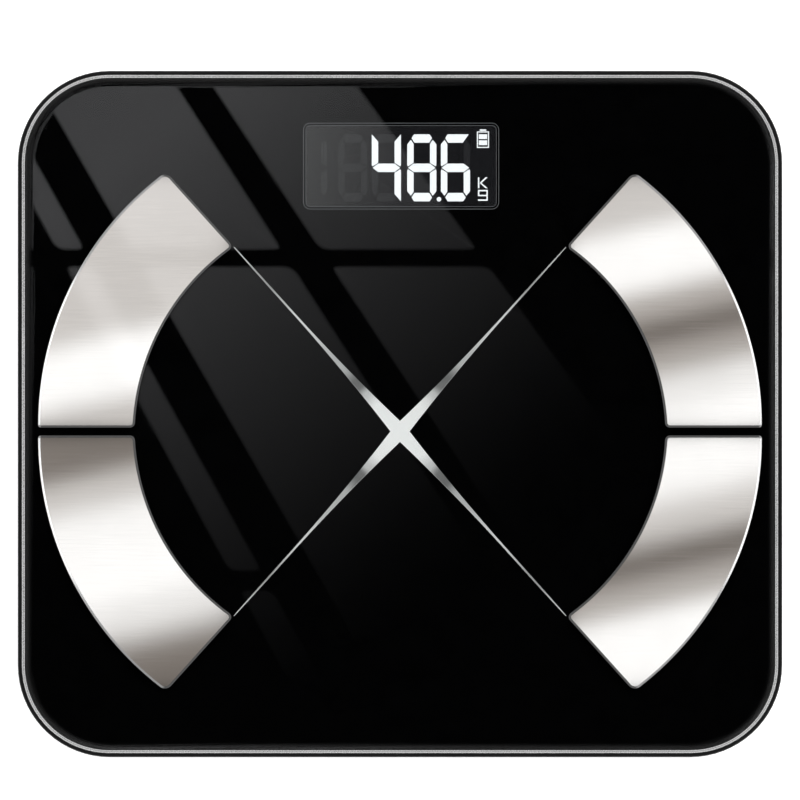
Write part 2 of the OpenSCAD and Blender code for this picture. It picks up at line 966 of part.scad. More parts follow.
// Round push button with a flange that keeps it in the housing.
module unit_button() {
  r = button_d / 2;
  face_z = floor_z + 0.3;
  chamfer = 0.3;
  flange_r = 6;
  flange_z = floor_top + 0.05;
  color([0.12, 0.12, 0.13])
    translate([button_x, button_y, 0])
      rotate_extrude()
        polygon([[0, face_z], [r - chamfer, face_z], [r, face_z + chamfer], [r, flange_z],
          [flange_r, flange_z], [flange_r, flange_z + button_flange_t], [0, flange_z + button_flange_t]]);
}

module switch_plunger() {
  color([0.85, 0.85, 0.83])
    translate([button_x, button_y, 0])
      disc(plunger_d, floor_top + 0.05 + button_flange_t, floor_top + 2.8);
}

module unit_switch() {
  body_w = 6;
  body_h = 2.2;
  color([0.1, 0.1, 0.1])
    translate([button_x, button_y, 0])
      difference() {
        box([body_w, body_w, body_h], [0, 0, board_z - body_h]);
        disc(plunger_d + 0.4, board_z - body_h - 1, board_z - 0.4);
      }
}

// ---------- display ----------

// One bar of a seven-bar digit, named a to g clockwise from the top with g in the middle.
// The bars a, b, c, d and f meet in chamfered corners, unless one of them is in long and fills its corner.
function bar_points(name, long) =
  let (w = digit_w, h = digit_h, m = digit_h / 2, v = bar_v, t = bar_h, g = bar_gap)
  name == "a" ? concat(
    [[v + g, h - t], [(v + g) * 0.6, h - t * 0.46], [corner_x, h]],
    long ? [[w - 0.2 * v, h]] : [[w - corner_x, h], [w - (v + g) * 0.6, h - t * 0.46]],
    [[w - v - g, h - t]]) :
  name == "f" ? concat(
    long ? [[0, h], [v, h - 1.15 * v]] : [[0, h - corner_y], [v * 0.57, h - t * 0.66], [v, h - t - 1.5 * g]],
    [[v, m + t / 2 + g], [g, m + 1.8 * g], [0, m + 3 * g]]) :
  name == "g" ? [[g, m], [v, m + t / 2], [w - v, m + t / 2], [w - g, m], [w - v, m - t / 2], [v, m - t / 2]] :
  name == "b" ? [for (p = bar_points("f", long)) [w - p.x, p.y]] :
  name == "c" ? [for (p = bar_points("f", long)) [w - p.x, h - p.y]] :
  name == "d" ? [for (p = bar_points("a", long)) [w - p.x, h - p.y]] :
  [for (p = bar_points("f", long)) [p.x, h - p.y]];

// Left edge of the digit in a place, counted from the last one.
function digit_left(place) =
  digit_x - place * digit_pitch - (place > 1 ? hundreds_gap : 0) - (place > 3 ? lead_gap : 0);

module digit(bars, place, long = false) {
  translate([digit_left(place), digit_y])
    for (name = bars)
      polygon(bar_points(name, long));
}

module battery_mark() {
  block_x = (icon_w - icon_block.x) / 2;
  cap_w = icon_w * 0.54;
  translate([icon_x, icon_y]) {
    difference() {
      square([icon_w, icon_h]);
      translate([icon_line, icon_line])
        square([icon_w - 2 * icon_line, icon_h - 2 * icon_line]);
    }
    translate([(icon_w - cap_w) / 2, icon_h + icon_line / 2])
      square([cap_w, 1.5 * icon_line]);
    for (y = [icon_h * 0.17, icon_h * 0.54])
      translate([block_x, y])
        square(icon_block);
  }
}

// Letters k over g, drawn in straight strokes.
module unit_mark() {
  s = unit_line;
  w = unit_w;
  h = 4;
  translate([unit_x, unit_y + h + 1.2 * s]) {
    square([s, h]);
    polygon([[1.2 * s, h * 0.48], [w - 1.7 * s, h], [w, h], [2.5 * s, h * 0.48], [w, 0], [w - 1.7 * s, 0]]);
  }
  translate([unit_x, unit_y])
    difference() {
      square([w, h]);
      translate([s, h * 0.55])
        square([w - 2 * s, h * 0.45 - s]);
      translate([-s, s])
        square([w, h * 0.55 - 2 * s]);
    }
}

module lit_digits() {
  digit(["b", "c", "f"], 2, true);
  digit(["g"], 2);
  digit(["a", "b", "c", "d", "e", "f", "g"], 1);
  digit(["a"], 0, true);
  digit(["c", "d", "e", "f", "g"], 0);
  translate([digit_x, digit_y] + dot_at)
    circle(d = dot_d);
}

module lit_marks() {
  battery_mark();
  unit_mark();
}

module unlit_digits() {
  digit(["b"], 0);
  digit(["a", "d", "e"], 2);
  digit(["a", "b", "c", "d", "e", "f", "g"], 3);
  digit(["b", "c"], 4);
}

module segments_lit() {
  color([0.95, 0.97, 1])
    translate([0, 0, display_top - pipe_t])
      linear_extrude(pipe_t) {
        lit_digits();
        lit_marks();
      }
}

module segments_unlit() {
  color([0.3, 0.3, 0.32])
    translate([0, 0, display_top - pipe_t])
      linear_extrude(pipe_t)
        unlit_digits();
}

module display_reflector() {
  color([0.1, 0.1, 0.11])
    difference() {
      box([reflector_w, reflector_d, reflector_h], [window_x, window_y, display_top - reflector_h]);
      translate([0, 0, display_top - reflector_h - 1])
        linear_extrude(reflector_h + 2) {
          lit_digits();
          unlit_digits();
        }
      translate([0, 0, display_top - pipe_t])
        linear_extrude(pipe_t + 1)
          lit_marks();
    }
}

module display_board() {
  color([0.08, 0.35, 0.2])
    translate([window_x, window_y, 0])
      difference() {
        box([display_board_w, reflector_d, display_board_t], [0, 0, display_board_z]);
        for (sx = [-1, 1])
          for (sy = [-1, 1])
            translate([sx * display_post_x, sy * display_post_y, display_board_z - 1])
              cylinder(h = display_board_t + 2, d = 2.4);
      }
}

// One small lamp under the middle of each bar. The leading place has only its two right-hand bars.
module display_leds() {
  lamp_l = 1.6;
  lamp_w = 0.8;
  lamp_h = 0.6;
  z = display_board_z + display_board_t;
  color([0.9, 0.9, 0.6])
    for (place = [0:4])
      translate([digit_left(place), digit_y, 0]) {
        if (place < 4)
          for (y = [bar_h / 2, digit_h / 2, digit_h - bar_h / 2])
            box([lamp_l, lamp_w, lamp_h], [digit_w / 2, y, z]);
        for (x = place < 4 ? [bar_v / 2, digit_w - bar_v / 2] : [digit_w - bar_v / 2])
          for (y = [digit_h / 4, digit_h * 3 / 4])
            box([lamp_w, lamp_l, lamp_h], [x, y, z]);
      }
}

module display_screws() {
  z = display_board_z + display_board_t;
  color([0.65, 0.65, 0.66])
    for (sx = [-1, 1])
      for (sy = [-1, 1])
        translate([window_x + sx * display_post_x, window_y + sy * display_post_y, z])
          screw(4);
}

// Flat ribbon from the display board to the main board.
module display_cable() {
  t = 0.2;
  low = floor_top + 0.6;
  back = window_y - reflector_d / 2 + 0.8;
  front = 19.5;
  rise = board_top + 1;
  path = [[front, rise], [24, rise], [27, low + 1], [30, low], [back - 4, low], [back - 1.4, low + 0.6],
    [back, display_board_z - t]];
  lower = [for (i = [0:6]) path[i]];
  upper = [for (i = [6:-1:0]) path[i] + [0, t]];
  color([0.85, 0.83, 0.78])
    translate([2, 0, 0])
      rotate([90, 0, 90])
        translate([0, 0, -15])
          linear_extrude(14)
            polygon(concat(lower, upper));
}

glass_panel();
black_print();
star_print();
window_film();
window_lines();
electrode_at(1, 1);  // electrode_rear_right
electrode_at(-1, 1);  // electrode_rear_left
electrode_at(1, -1);  // electrode_front_right
electrode_at(-1, -1);  // electrode_front_left
electrode_tapes();
stud_nuts();
ring_lugs();
electrode_wires();
trim_ring();
glass_tape();
bottom_housing();
rating_label();
quadrant(1, 1) load_cell();  // load_cell_rear_right
quadrant(-1, 1) load_cell();  // load_cell_rear_left
quadrant(1, -1) load_cell();  // load_cell_front_right
quadrant(-1, -1) load_cell();  // load_cell_front_left
quadrant(1, 1) bracket();  // bracket_rear_right
quadrant(-1, 1) bracket();  // bracket_rear_left
quadrant(1, -1) bracket();  // bracket_front_right
quadrant(-1, -1) bracket();  // bracket_front_left
bracket_screws();
strain_gauges();
cell_wires_red();
cell_wires_white();
cell_wires_black();
quadrant(1, 1) foot_cup();  // foot_cup_rear_right
quadrant(-1, 1) foot_cup();  // foot_cup_rear_left
quadrant(1, -1) foot_cup();  // foot_cup_front_right
quadrant(-1, -1) foot_cup();  // foot_cup_front_left
quadrant(1, 1) foot_pad();  // foot_pad_rear_right
quadrant(-1, 1) foot_pad();  // foot_pad_rear_left
quadrant(1, -1) foot_pad();  // foot_pad_front_right
quadrant(-1, -1) foot_pad();  // foot_pad_front_left
battery_door();
battery_cell_1();
battery_cell_2();
battery_cell_3();
battery_springs();
battery_contacts();
battery_wires();
main_board();
board_chips();
radio_module();
wire_connectors();
board_screws();
unit_button();
switch_plunger();
unit_switch();
display_board();
display_reflector();
segments_lit();
segments_unlit();
display_leds();
display_screws();
display_cable();
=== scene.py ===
"""Looks of the digital bathroom scale: materials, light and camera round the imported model, in metres."""
import math

import bpy
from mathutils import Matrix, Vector


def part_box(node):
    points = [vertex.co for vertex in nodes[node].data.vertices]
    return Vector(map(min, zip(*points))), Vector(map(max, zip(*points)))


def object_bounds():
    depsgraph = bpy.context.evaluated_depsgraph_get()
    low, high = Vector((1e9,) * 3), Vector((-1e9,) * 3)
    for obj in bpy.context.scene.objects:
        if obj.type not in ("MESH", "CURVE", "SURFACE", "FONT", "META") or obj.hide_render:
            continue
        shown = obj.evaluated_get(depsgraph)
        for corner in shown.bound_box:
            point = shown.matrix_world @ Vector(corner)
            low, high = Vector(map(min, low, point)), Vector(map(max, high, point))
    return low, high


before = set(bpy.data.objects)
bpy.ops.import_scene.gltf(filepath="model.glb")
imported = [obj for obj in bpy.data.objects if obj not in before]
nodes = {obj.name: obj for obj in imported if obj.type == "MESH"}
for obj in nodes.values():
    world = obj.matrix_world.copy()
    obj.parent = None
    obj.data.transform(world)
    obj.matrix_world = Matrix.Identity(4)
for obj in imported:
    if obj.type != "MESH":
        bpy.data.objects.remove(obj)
cad_low, cad_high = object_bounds()

MM = 0.001
CORNERS = ["rear_right", "rear_left", "front_right", "front_left"]
CELLS = [1, 2, 3]

# What the camera sees at the height of the rim, and how far its axis lies towards the display
VIEW_W = 0.2928
VIEW_Y = 5.13 * MM
LENS = 200
SENSOR = 36

rim_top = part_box("trim_ring")[1].z
glass_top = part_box("glass_panel")[1].z
view_reach = VIEW_W * LENS / SENSOR


def make_camera():
    """Looks straight down with the display edge at the top of the picture."""
    data = bpy.data.cameras.new("camera")
    data.lens = LENS
    data.sensor_width = SENSOR
    data.clip_start = 0.1
    data.clip_end = 20
    camera = bpy.data.objects.new("camera", data)
    camera.location = (0, VIEW_Y, rim_top + view_reach)
    bpy.context.scene.collection.objects.link(camera)
    bpy.context.scene.camera = camera


make_camera()


# ---------- node helpers ----------

# Most of a noise's values lie between these two
NOISE_SPAN = (0.3, 0.7)
NOISE_ROUGHNESS = 0.55
BEVEL_SAMPLES = 4

# Sockets of a colour Mix node
MIX_A = 6
MIX_B = 7
MIX_RESULT = 2


def each_corner(kind):
    """Names of the four CAD nodes of one kind."""
    return [f"{kind}_{corner}" for corner in CORNERS]


def add_node(tree, kind, values=None, **settings):
    """A new node with its settings and unlinked inputs filled in."""
    node = tree.nodes.new(kind)
    for name, value in settings.items():
        setattr(node, name, value)
    for name, value in (values or {}).items():
        if isinstance(value, bpy.types.NodeSocket):
            tree.links.new(value, node.inputs[name])
        else:
            node.inputs[name].default_value = value
    return node


def show(tree, mixed):
    """Makes the shader of this node the surface of the material."""
    tree.links.new(mixed.outputs["Shader"], tree.nodes["Material Output"].inputs["Surface"])


def color_ramp(tree, factor, stops, blend="LINEAR"):
    """Colour output of a ramp with stops (position, grey or colour)."""
    ramp = add_node(tree, "ShaderNodeValToRGB", {"Fac": factor})
    ramp.color_ramp.interpolation = blend
    elements = ramp.color_ramp.elements
    while len(elements) < len(stops):
        elements.new(1)
    for element, (position, color) in zip(elements, stops):
        element.position = position
        element.color = (*color, 1) if isinstance(color, tuple) else (color, color, color, 1)
    return ramp.outputs["Color"]


def mix_colors(tree, factor, a, b):
    """Colour a where factor is 0 and b where it is 1. Either may be a socket."""
    values = {"Factor": factor}
    for socket, color in ((MIX_A, a), (MIX_B, b)):
        values[socket] = color if isinstance(color, bpy.types.NodeSocket) else (*color, 1)
    return add_node(tree, "ShaderNodeMix", values, data_type="RGBA").outputs[MIX_RESULT]


def spread(tree, factor, low, high, start=0.0, end=1.0):
    """Factor from start to end, mapped to low to high."""
    values = {"Value": factor, "From Min": start, "From Max": end, "To Min": low, "To Max": high}
    return add_node(tree, "ShaderNodeMapRange", values).outputs["Result"]


def calc(tree, operation, a, b=0.0):
    """Result of a two-number Math node."""
    node = add_node(tree, "ShaderNodeMath", {0: a, 1: b}, operation=operation)
    return node.outputs["Value"]


def weigh(tree, a, b, share):
    """Sum of this share of a and the rest of b."""
    return calc(tree, "ADD", calc(tree, "MULTIPLY", a, share), calc(tree, "MULTIPLY", b, 1 - share))


def axes(tree, vector):
    """The outputs X, Y and Z of a vector."""
    return add_node(tree, "ShaderNodeSeparateXYZ", {"Vector": vector}).outputs


def soft_normal(tree, radius):
    """The normal that sharp edges would have with this radius."""
    return add_node(tree, "ShaderNodeBevel", {"Radius": radius}, samples=BEVEL_SAMPLES).outputs["Normal"]


class Finish:
    """A Principled material whose sockets follow noise in the object's own coordinates."""

    def __init__(self, name, color, roughness, metallic=0.0, sockets=None):
        self.material = bpy.data.materials.new(name)
        self.material.use_nodes = True
        self.tree = self.material.node_tree
        self.shader = self.tree.nodes["Principled BSDF"]
        self.shader.inputs["Base Color"].default_value = (*color, 1)
        self.shader.inputs["Roughness"].default_value = roughness
        self.shader.inputs["Metallic"].default_value = metallic
        for key, value in (sockets or {}).items():
            self.shader.inputs[key].default_value = value
        self.color = color
        self.place = add_node(self.tree, "ShaderNodeTexCoord").outputs["Object"]
        self.normal = None

    def noise(self, size, detail=3.0, stretch=(1, 1, 1)):
        """Noise with features of the given size, longer along the stretched axes."""
        scale = tuple(1 / (size * s) for s in stretch)
        spot = add_node(self.tree, "ShaderNodeMapping", {"Vector": self.place, "Scale": scale})
        values = {"Vector": spot.outputs["Vector"], "Scale": 1.0, "Detail": detail,
                  "Roughness": NOISE_ROUGHNESS}
        return add_node(self.tree, "ShaderNodeTexNoise", values).outputs["Fac"]

    def axis(self, name):
        """One of the object's own coordinates, in metres."""
        return axes(self.tree, self.place)[name]

    def edges(self, radius, width=0.35):
        """1 along sharp edges and 0 on flat faces."""
        plain = add_node(self.tree, "ShaderNodeNewGeometry").outputs["Normal"]
        values = {0: soft_normal(self.tree, radius), 1: plain}
        dot = add_node(self.tree, "ShaderNodeVectorMath", values, operation="DOT_PRODUCT")
        return spread(self.tree, dot.outputs["Value"], 1, 0, 1 - width, 1)

    def mix(self, factor, a, b):
        """Colour a where factor is 0 and b where it is 1. Either may be a socket."""
        return mix_colors(self.tree, factor, a, b)

    def shade(self, amount):
        """The base colour made darker or lighter."""
        return tuple(min(c * amount, 1) for c in self.color)

    def drift(self, noise, low, high):
        """A colour that follows a noise from a darker to a lighter shade."""
        return self.mix(spread(self.tree, noise, 0, 1, *NOISE_SPAN), self.shade(low), self.shade(high))

    def paint(self, color):
        """Takes the base colour from this socket."""
        self.tree.links.new(color, self.shader.inputs["Base Color"])

    def mottle(self, size, low=0.8, high=1.2, stretch=(1, 1, 1)):
        """Lets the colour drift between a darker and a lighter shade."""
        color = self.drift(self.noise(size, stretch=stretch), low, high)
        self.paint(color)
        return color

    def rough(self, factor, low, high, span=NOISE_SPAN):
        """Lets the roughness follow a factor that runs over the span."""
        self.tree.links.new(spread(self.tree, factor, low, high, *span), self.shader.inputs["Roughness"])

    def set_normal(self, normal):
        """Keeps this normal for further bumps and gives it to the shader."""
        self.normal = normal
        self.tree.links.new(normal, self.shader.inputs["Normal"])

    def bump(self, factor, depth):
        """Raises the surface by depth where factor is 1. Further bumps add to the first."""
        values = {"Height": factor, "Distance": depth, "Strength": 1.0}
        if self.normal:
            values["Normal"] = self.normal
        self.set_normal(add_node(self.tree, "ShaderNodeBump", values).outputs["Normal"])

    def soften(self, radius):
        """Shades sharp edges as if they had this radius. It comes before any bump."""
        self.set_normal(soft_normal(self.tree, radius))

    def on(self, *names):
        """Gives the CAD nodes of these names this finish."""
        for name in names:
            nodes[name].material_slots[0].material = self.material


# ---------- glass ----------

def clear_glass():
    """Clear tempered glass with faint smudges that lets light through to the prints below it."""
    sockets = {"Transmission Weight": 1.0, "IOR": 1.5}
    glass = Finish("clear_glass", (0.99, 1.0, 0.995), 0.0, sockets=sockets)
    glass.rough(glass.noise(35 * MM, 4), 0, 0.03, (0.55, 0.8))
    tree = glass.tree
    shadow = add_node(tree, "ShaderNodeLightPath").outputs["Is Shadow Ray"]
    clear = add_node(tree, "ShaderNodeBsdfTransparent", {"Color": (0.985, 0.995, 0.99, 1)}).outputs["BSDF"]
    values = {"Fac": shadow, 1: glass.shader.outputs["BSDF"], 2: clear}
    show(tree, add_node(tree, "ShaderNodeMixShader", values))
    glass.on("glass_panel")


# ---------- prints under the glass ----------

# Painted reflection on the star along each arm, from the middle to the tip, and painted highlight on its
# lower edges
STAR_REFLECTION_TONES = [(0.0, 1.0), (0.13, 0.97), (0.19, 0.6), (0.235, 0.16), (0.27, 0.14), (0.36, 0.5), (0.6, 0.75),
              (0.8, 0.35), (1.0, 0.7)]
STAR_EDGE_HIGHLIGHT = (0.85, 0.85, 0.85)
STAR_GRAIN = (0.45, 0.45, 0.46)


def black_ground():
    """Opaque black enamel."""
    black = Finish("black_print", (0.0008, 0.0008, 0.0009), 0.5, sockets={"Specular IOR Level": 0.03})
    black.mottle(9 * MM, 0.7, 1.3)
    black.rough(black.noise(1.5 * MM), 0.4, 0.6)
    black.bump(black.noise(0.25 * MM), 0.002 * MM)
    black.on("black_print")


def silver_star():
    """Silver print with a painted reflection, lighter and darker along its arms, a painted highlight on
    its lower edges, and fine grain.
    """
    star = Finish("mirror_print", (1.0, 1.0, 1.0), 0.35)
    tree = star.tree
    low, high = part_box("star_print")
    values = {0: star.place, 1: (low + high) / 2}
    from_middle = add_node(tree, "ShaderNodeVectorMath", values, operation="DISTANCE").outputs["Value"]
    wander = calc(tree, "MULTIPLY", calc(tree, "SUBTRACT", star.noise(14 * MM, 1), 0.5), 9 * MM)
    share = calc(tree, "DIVIDE", calc(tree, "ADD", from_middle, wander), (high - low).length / 2)
    # Painted reflection: the star's colour runs lighter and darker from the middle to the tips
    painted_reflection = color_ramp(tree, share, STAR_REFLECTION_TONES, "EASE")
    # Painted highlight on the edges whose rounded normal faces -Y
    lean = axes(tree, soft_normal(tree, 0.3 * MM))["Y"]
    with_edge_highlight = star.mix(spread(tree, lean, 1, 0, -0.5, -0.1), painted_reflection, STAR_EDGE_HIGHLIGHT)
    grain = star.noise(0.3 * MM, 2)
    speckle = calc(tree, "MULTIPLY", spread(tree, grain, 0, 1, *NOISE_SPAN), 0.12)
    star.paint(star.mix(speckle, with_edge_highlight, STAR_GRAIN))
    star.rough(grain, 0.28, 0.42)
    star.on("star_print")


def frame_lines():
    """Thin grey lines round the display window."""
    lines = Finish("line_print", (0.15, 0.155, 0.165), 0.5)
    lines.mottle(1 * MM, 0.9, 1.1)
    lines.rough(lines.noise(0.4 * MM), 0.4, 0.6)
    lines.on("window_lines")


def smoke_film():
    """Dark see-through film in the window, with a painted reflection that makes it paler towards its left
    end.
    """
    film = Finish("smoke_film", (0.012, 0.012, 0.014), 0.3, sockets={"Alpha": 0.55})
    left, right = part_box("window_film")
    # Painted reflection: the film's colour grows paler towards its left end
    left_reflection = spread(film.tree, film.axis("X"), 1, 0, left.x, (left.x + right.x) / 2)
    film.paint(film.mix(left_reflection, film.mottle(5 * MM), (0.06, 0.06, 0.061)))
    film.rough(film.noise(0.5 * MM), 0.25, 0.35)
    film.on("window_film")


# ---------- trim and electrodes ----------

# Painted shade and highlight on an electrode's bevel, from where it faces the platform's middle (dark) to
# where it faces the side (light), and how far its normal leans there
BEVEL_SHADE_AND_HIGHLIGHT = [(0.0, 0.3), (0.5, 0.26), (0.72, 0.85), (1.0, 1.0)]
BEVEL_LEAN = 0.53
EDGE_SHADE = (0.12, 0.115, 0.11)


def plated_trim():
    """Satin silver plating on the ring round the glass."""
    trim = Finish("trim_plating", (0.78, 0.78, 0.78), 0.28, 1.0)
    grain = trim.noise(0.35 * MM, 3)
    trim.mottle(12 * MM, 0.92, 1.06)
    trim.rough(grain, 0.22, 0.34)
    trim.bump(grain, 0.004 * MM)
    trim.on("trim_ring")


def brushed_steel():
    """Stainless plate brushed from left to right, a little duller where feet rub it.

    Its bevel has painted shade, darker than the face, and a painted highlight on the outer arc, and a
    painted dark line of shade lies along its edges.
    """
    steel = Finish("electrode_steel", (0.9, 0.888, 0.872), 0.2, 1.0)
    tree = steel.tree
    streaks = steel.noise(0.16 * MM, 3, (90, 1, 1))
    wear = steel.noise(22 * MM, 4)
    brushed = steel.drift(streaks, 0.95, 1.04)
    worn = steel.mix(spread(tree, wear, 0, 1, 0.4, 0.75), brushed, steel.shade(0.97))
    # Painted shade and highlight on the bevel, set by which way its normal faces
    facing = axes(tree, add_node(tree, "ShaderNodeNewGeometry").outputs["Normal"])
    outward = calc(tree, "MULTIPLY", facing["X"], calc(tree, "SIGN", steel.axis("X")))
    tone = color_ramp(tree, spread(tree, outward, 0, 1, -BEVEL_LEAN, BEVEL_LEAN), BEVEL_SHADE_AND_HIGHLIGHT)
    painted_bevel = steel.mix(spread(tree, facing["Z"], 1, 0, 0.85, 0.97), worn, tone)
    # Painted shade: a thin dark line along the sharp edges
    edge_shade = calc(tree, "MULTIPLY", steel.edges(0.22 * MM, 0.1), 0.7)
    steel.paint(steel.mix(edge_shade, painted_bevel, EDGE_SHADE))
    steel.rough(weigh(tree, streaks, wear, 0.6), 0.16, 0.24)
    steel.bump(streaks, 0.0006 * MM)
    steel.on(*each_corner("electrode"))


# ---------- plastics and rubber ----------

MOULD_EDGE = 0.25 * MM
MOULD_DEPTH = 0.012 * MM
DUST = (0.05, 0.047, 0.043)


def moulded_plastic(name, color, roughness, grain=0.35 * MM):
    """Spark-textured moulding: fine grain, slow colour drift, handled gloss and rubbed edges."""
    plastic = Finish(name, color, roughness)
    tree = plastic.tree
    plastic.soften(MOULD_EDGE)
    fine = plastic.noise(grain, 4)
    slow = plastic.noise(18 * MM, 4)
    rub = calc(tree, "MULTIPLY", plastic.edges(2 * MOULD_EDGE), plastic.noise(3 * MM, 4))
    drift = plastic.drift(slow, 0.85, 1.2)
    plastic.paint(plastic.mix(spread(tree, rub, 0, 0.6), drift, plastic.shade(2.2)))
    plastic.rough(weigh(tree, fine, slow, 0.5), roughness - 0.08, roughness + 0.08)
    plastic.bump(fine, MOULD_DEPTH)
    return plastic


def plastics():
    """Housing, door, button, brackets, foot cups and the moulded pieces inside."""
    moulded_plastic("black_plastic", (0.007, 0.007, 0.0073), 0.44).on("bottom_housing")
    moulded_plastic("door_plastic", (0.014, 0.014, 0.0145), 0.42).on("battery_door")
    moulded_plastic("button_plastic", (0.03, 0.03, 0.032), 0.38, 0.2 * MM).on("unit_button")
    moulded_plastic("plunger_plastic", (0.7, 0.69, 0.65), 0.45, 0.2 * MM).on("switch_plunger")
    moulded_plastic("bracket_plastic", (0.72, 0.71, 0.67), 0.5).on(*each_corner("bracket"))
    moulded_plastic("foot_plastic", (0.03, 0.03, 0.033), 0.45).on(*each_corner("foot_cup"))
    moulded_plastic("switch_black", (0.012, 0.012, 0.012), 0.4, 0.15 * MM).on("unit_switch")
    moulded_plastic("reflector_black", (0.008, 0.008, 0.009), 0.6, 0.2 * MM).on("display_reflector")
    moulded_plastic("connector_white", (0.78, 0.76, 0.68), 0.42, 0.15 * MM).on("wire_connectors")


def foot_rubber():
    """Matt rubber, paler where the sole has picked up dust."""
    rubber = Finish("foot_rubber", (0.022, 0.022, 0.023), 0.82, sockets={"Specular IOR Level": 0.3})
    tree = rubber.tree
    rubber.soften(0.2 * MM)
    fine = rubber.noise(0.3 * MM, 4)
    patches = spread(tree, rubber.noise(4 * MM, 5), 0.1, 0.8, 0.4, 0.7)
    sole = spread(tree, rubber.axis("Z"), 1, 0, 0.0, 1 * MM)
    rubber.paint(rubber.mix(calc(tree, "MULTIPLY", sole, patches), rubber.color, DUST))
    rubber.rough(fine, 0.74, 0.9)
    rubber.bump(fine, 0.02 * MM)
    rubber.on(*each_corner("foot_pad"))


# ---------- tapes and films ----------

def foam_tape():
    """White foam that holds the glass."""
    foam = Finish("foam_tape", (0.78, 0.78, 0.74), 0.85)
    cells = foam.noise(0.4 * MM, 3)
    foam.mottle(0.6 * MM, 0.85, 1.08)
    foam.rough(cells, 0.75, 0.95)
    foam.bump(cells, 0.03 * MM)
    foam.on("glass_tape")


def electrode_tape():
    """Black adhesive under the electrodes."""
    tape = Finish("black_tape", (0.015, 0.015, 0.015), 0.6)
    tape.mottle(1 * MM, 0.7, 1.3)
    tape.rough(tape.noise(0.4 * MM), 0.5, 0.7)
    tape.on("electrode_tapes")


def gauge_film():
    """Amber film of the strain gauges."""
    gauge = Finish("gauge_film", (0.5, 0.2, 0.035), 0.35)
    gauge.mottle(0.8 * MM, 0.75, 1.2, (1, 6, 1))
    gauge.rough(gauge.noise(0.5 * MM), 0.28, 0.42)
    gauge.on("strain_gauges")


def blank_label():
    """Silver-grey label without print, scuffed from left to right."""
    label = Finish("label_film", (0.58, 0.585, 0.59), 0.35)
    fibre = label.noise(0.25 * MM, 4)
    scuff = label.noise(1.2 * MM, 5, (9, 1, 1))
    label.mottle(14 * MM, 0.94, 1.05)
    label.rough(scuff, 0.28, 0.5)
    label.bump(fibre, 0.004 * MM)
    label.on("rating_label")


# ---------- metal parts ----------

def worn_metal(name, color, roughness, grain, stretch=(1, 1, 1)):
    """Rolled or plated metal with a fine grain, slow tarnish and brighter rubbed edges."""
    metal = Finish(name, color, roughness, 1.0)
    tree = metal.tree
    metal.soften(0.12 * MM)
    fine = metal.noise(grain, 3, stretch)
    tarnish = metal.noise(5 * MM, 4)
    tone = metal.mix(spread(tree, tarnish, 0, 1, 0.35, 0.7), metal.color, metal.shade(0.72))
    metal.paint(metal.mix(metal.edges(0.2 * MM), tone, metal.shade(1.25)))
    metal.rough(weigh(tree, fine, tarnish, 0.6), roughness - 0.08, roughness + 0.1)
    metal.bump(fine, 0.004 * MM)
    return metal


def metals():
    """Load cells, fasteners, lugs, springs, contacts and the radio's shield."""
    screws = ["bracket_screws", "board_screws", "display_screws"]
    worn_metal("cell_steel", (0.62, 0.62, 0.63), 0.3, 0.3 * MM, (12, 1, 1)).on(*each_corner("load_cell"))
    worn_metal("screw_steel", (0.55, 0.55, 0.55), 0.3, 0.2 * MM).on(*screws)
    worn_metal("zinc_steel", (0.6, 0.6, 0.57), 0.36, 0.3 * MM).on("stud_nuts")
    worn_metal("brass_lug", (0.68, 0.46, 0.2), 0.3, 0.25 * MM).on("ring_lugs")
    worn_metal("spring_steel", (0.62, 0.62, 0.64), 0.25, 0.15 * MM).on("battery_springs")
    worn_metal("contact_plate", (0.66, 0.66, 0.68), 0.25, 0.2 * MM, (1, 8, 1)).on("battery_contacts")
    worn_metal("shield_can", (0.58, 0.59, 0.6), 0.34, 0.2 * MM, (10, 1, 1)).on("radio_module")


# ---------- wires and battery cells ----------

CELL_STEEL = (0.6, 0.6, 0.6)
CELL_BLUE = (0.03, 0.05, 0.1)
CELL_COPPER = (0.55, 0.25, 0.1)

# Where each colour of a battery cell starts along its length, from its flat end
CELL_BANDS = [(0.0, CELL_STEEL), (0.02, CELL_BLUE), (0.68, CELL_COPPER), (0.955, CELL_STEEL)]


def wire_cover(name, color):
    """Soft insulation with faint scuffs."""
    cover = Finish(name, color, 0.4)
    scuff = cover.noise(1.2 * MM, 4)
    cover.mottle(4 * MM, 0.85, 1.12)
    cover.rough(scuff, 0.32, 0.5)
    cover.bump(scuff, 0.01 * MM)
    return cover


def wires():
    """Insulated wires of the load cells, the electrodes and the battery."""
    wire_cover("red_wire", (0.42, 0.02, 0.018)).on("cell_wires_red")
    wire_cover("white_wire", (0.74, 0.73, 0.7)).on("cell_wires_white")
    wire_cover("black_wire", (0.014, 0.014, 0.015)).on("cell_wires_black")
    wire_cover("blue_wire", (0.025, 0.07, 0.26)).on("electrode_wires")
    wire_cover("battery_lead", (0.4, 0.02, 0.018)).on("battery_wires")


def ribbon_cable():
    """Flat display cable whose strands lie side by side."""
    ribbon = wire_cover("ribbon", (0.66, 0.64, 0.57))
    values = {"Vector": ribbon.place, "Scale": 160.0}
    strands = add_node(ribbon.tree, "ShaderNodeTexWave", values, bands_direction="X").outputs["Fac"]
    ribbon.paint(ribbon.mix(strands, ribbon.shade(0.72), ribbon.shade(1.1)))
    ribbon.bump(strands, 0.06 * MM)
    ribbon.on("display_cable")


